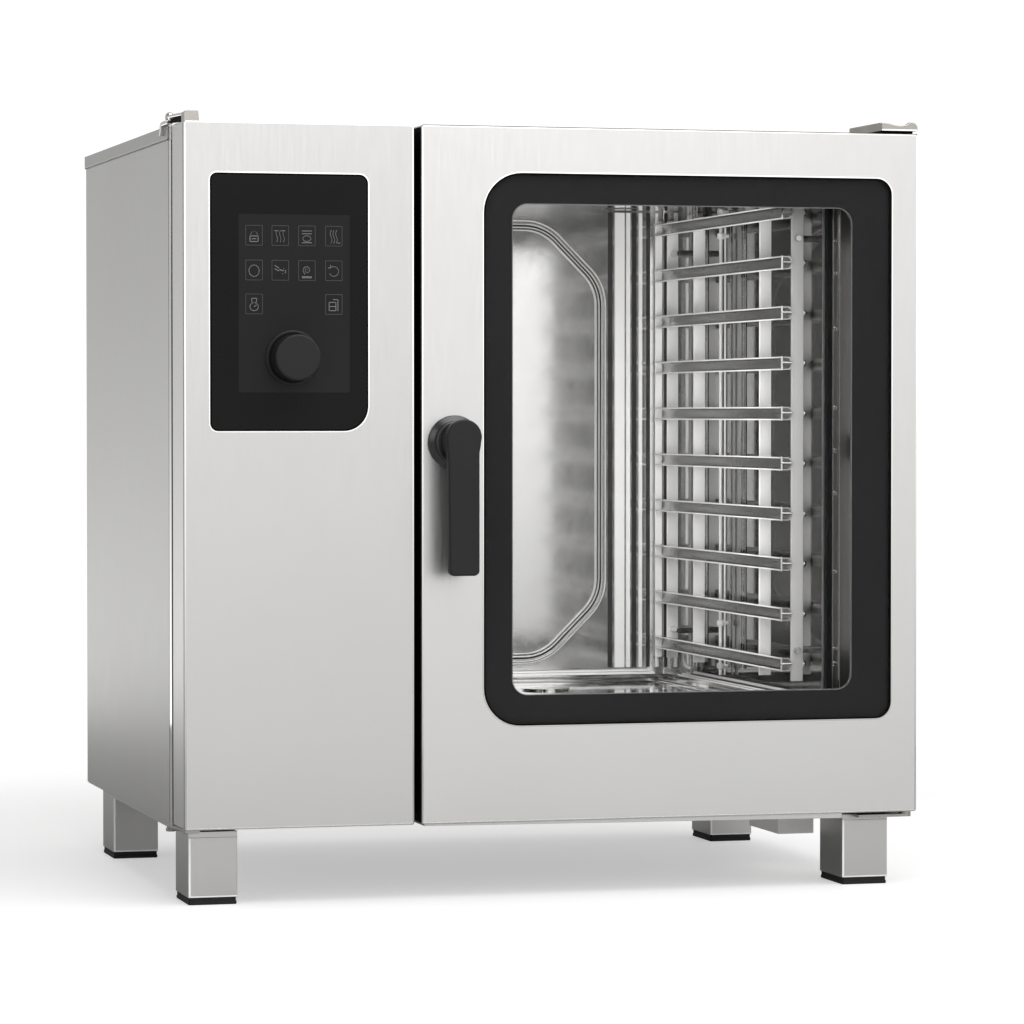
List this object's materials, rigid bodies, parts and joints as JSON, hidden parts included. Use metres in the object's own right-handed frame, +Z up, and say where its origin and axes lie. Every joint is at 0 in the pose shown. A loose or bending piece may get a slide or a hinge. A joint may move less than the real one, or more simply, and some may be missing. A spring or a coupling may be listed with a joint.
{
  "type": "combi steamer oven",
  "caption": "Stainless combi steamer oven with a glazed side-hung door, lever handle, swing-out control panel with a push dial, cavity with shelf racks and fan, on four box legs.",
  "frame": {"origin": "middle of the footprint of the whole oven, handle and rear connections included, on the floor under the feet", "axes": "+X to the right of a person who faces the door, +Y from the door towards the rear, +Z up"},
  "size_m": [1.1318, 0.949, 1.163],
  "materials": {
    "brushed_steel": "brushed stainless steel with a fine vertical grain",
    "polished_steel": "bright polished stainless steel of the cavity and racks",
    "foot_rubber": "black moulded foot",
    "seal_rubber": "black silicone seal",
    "clear_glass": "clear toughened glass",
    "border_black": "black enamelled border behind the outer glass",
    "control_glass": "satin black printed glass",
    "black_plastic": "matt black moulding",
    "mineral_wool": "mineral wool blanket",
    "heater_steel": "dull sheathed heater tube",
    "motor_paint": "dark painted motor",
    "switchgear": "grey switchgear on a tray",
    "circuit_board": "green circuit board",
    "brass": "plain brass",
    "lamp": "frosted lamp strip",
    "fan_steel": "dull stainless steel",
    "bush": "dark bearing plastic"
  },
  "bodies": {
    "cabinet": {"legs": "brushed_steel", "base_beams": "brushed_steel", "bottom_pan": "brushed_steel", "front_frame": "brushed_steel", "side_panel_left": "brushed_steel", "side_panel_right": "brushed_steel", "rear_panel": "brushed_steel", "top_cover": "brushed_steel", "service_box": "brushed_steel", "cavity_walls": "polished_steel", "cavity_rear": "polished_steel", "cavity_ceiling": "polished_steel", "cavity_floor": "polished_steel", "drain_strainer": "polished_steel", "insulation": "mineral_wool", "air_baffle": "polished_steel", "baffle_knobs": "brushed_steel", "heating_coil": "heater_steel", "fan_motor": "motor_paint", "steam_generator": "brushed_steel", "power_tray": "switchgear", "drain_pipe": "fan_steel", "water_inlets": "brass", "vent_pipe": "brushed_steel", "cable_gland": "black_plastic", "door_gasket": "seal_rubber", "rack_pegs": "polished_steel", "latch_striker": "brushed_steel", "door_bracket_upper": "brushed_steel", "door_plate_lower": "brushed_steel", "panel_strap_upper": "brushed_steel", "panel_strap_lower": "brushed_steel"},
    "door": {"door_skin": "brushed_steel", "door_liner": "brushed_steel", "door_bushes": "bush", "window_border": "border_black", "outer_glass": "clear_glass", "middle_glass": "clear_glass", "inner_glass": "clear_glass", "pane_spacers": "seal_rubber", "door_lamps": "lamp", "door_drip_tray": "brushed_steel", "handle_rosette": "black_plastic"},
    "handle": {"handle_lever": "black_plastic", "latch_hook": "brushed_steel"},
    "control_panel": {"panel_skin": "brushed_steel", "panel_seal": "seal_rubber", "panel_hinge_arms": "brushed_steel", "control_glass": "control_glass", "dial_ring": "black_plastic", "display_board": "circuit_board"},
    "dial_shaft": {"dial_shaft": "fan_steel"},
    "dial": {"dial_knob": "black_plastic"},
    "fan": {"fan_wheel": "fan_steel"},
    "rack_left": {"rack_left": "polished_steel"},
    "rack_right": {"rack_right": "polished_steel"},
    "foot_front_left": {"foot_front_left": "foot_rubber"},
    "foot_front_right": {"foot_front_right": "foot_rubber"},
    "foot_rear_left": {"foot_rear_left": "foot_rubber"},
    "foot_rear_right": {"foot_rear_right": "foot_rubber"}
  },
  "joints": [
    {"name": "door_swing", "type": "hinge", "parent": "cabinet", "child": "door", "pos_m": [0.55085, -0.3995, 0.62], "axis": [0, 0, 1], "range_deg": [0, 180]},
    {"name": "handle_turn", "type": "hinge", "parent": "door", "child": "handle", "pos_m": [-0.15615, -0.4145, 0.669], "axis": [0, -1, 0], "range_deg": [0, 180]},
    {"name": "panel_swing", "type": "hinge", "parent": "cabinet", "child": "control_panel", "pos_m": [-0.55945, -0.3235, 0.62], "axis": [0, 0, -1], "range_deg": [0, 110]},
    {"name": "dial_push", "type": "slide", "parent": "control_panel", "child": "dial_shaft", "axis": [0, 1, 0], "range_m": [0, 0.0015], "stiffness_N_per_m": 2500, "springref_m": -0.001},
    {"name": "dial_turn", "type": "hinge", "parent": "dial_shaft", "child": "dial", "pos_m": [-0.39675, -0.4145, 0.7916], "axis": [0, -1, 0], "continuous": true},
    {"name": "fan_spin", "type": "hinge", "parent": "cabinet", "child": "fan", "pos_m": [-0.23615, 0.0255, 0.656], "axis": [1, 0, 0], "continuous": true},
    {"name": "rack_left_lift", "type": "slide", "parent": "cabinet", "child": "rack_left", "axis": [0, 0, 1], "range_m": [0, 0.012]},
    {"name": "rack_right_lift", "type": "slide", "parent": "cabinet", "child": "rack_right", "axis": [0, 0, 1], "range_m": [0, 0.012]},
    {"name": "foot_front_left_screw", "type": "slide", "parent": "cabinet", "child": "foot_front_left", "axis": [0, 0, 1], "range_m": [-0.02, 0]},
    {"name": "foot_front_right_screw", "type": "slide", "parent": "cabinet", "child": "foot_front_right", "axis": [0, 0, 1], "range_m": [-0.02, 0]},
    {"name": "foot_rear_left_screw", "type": "slide", "parent": "cabinet", "child": "foot_rear_left", "axis": [0, 0, 1], "range_m": [-0.02, 0]},
    {"name": "foot_rear_right_screw", "type": "slide", "parent": "cabinet", "child": "foot_rear_right", "axis": [0, 0, 1], "range_m": [-0.02, 0]}
  ]
}
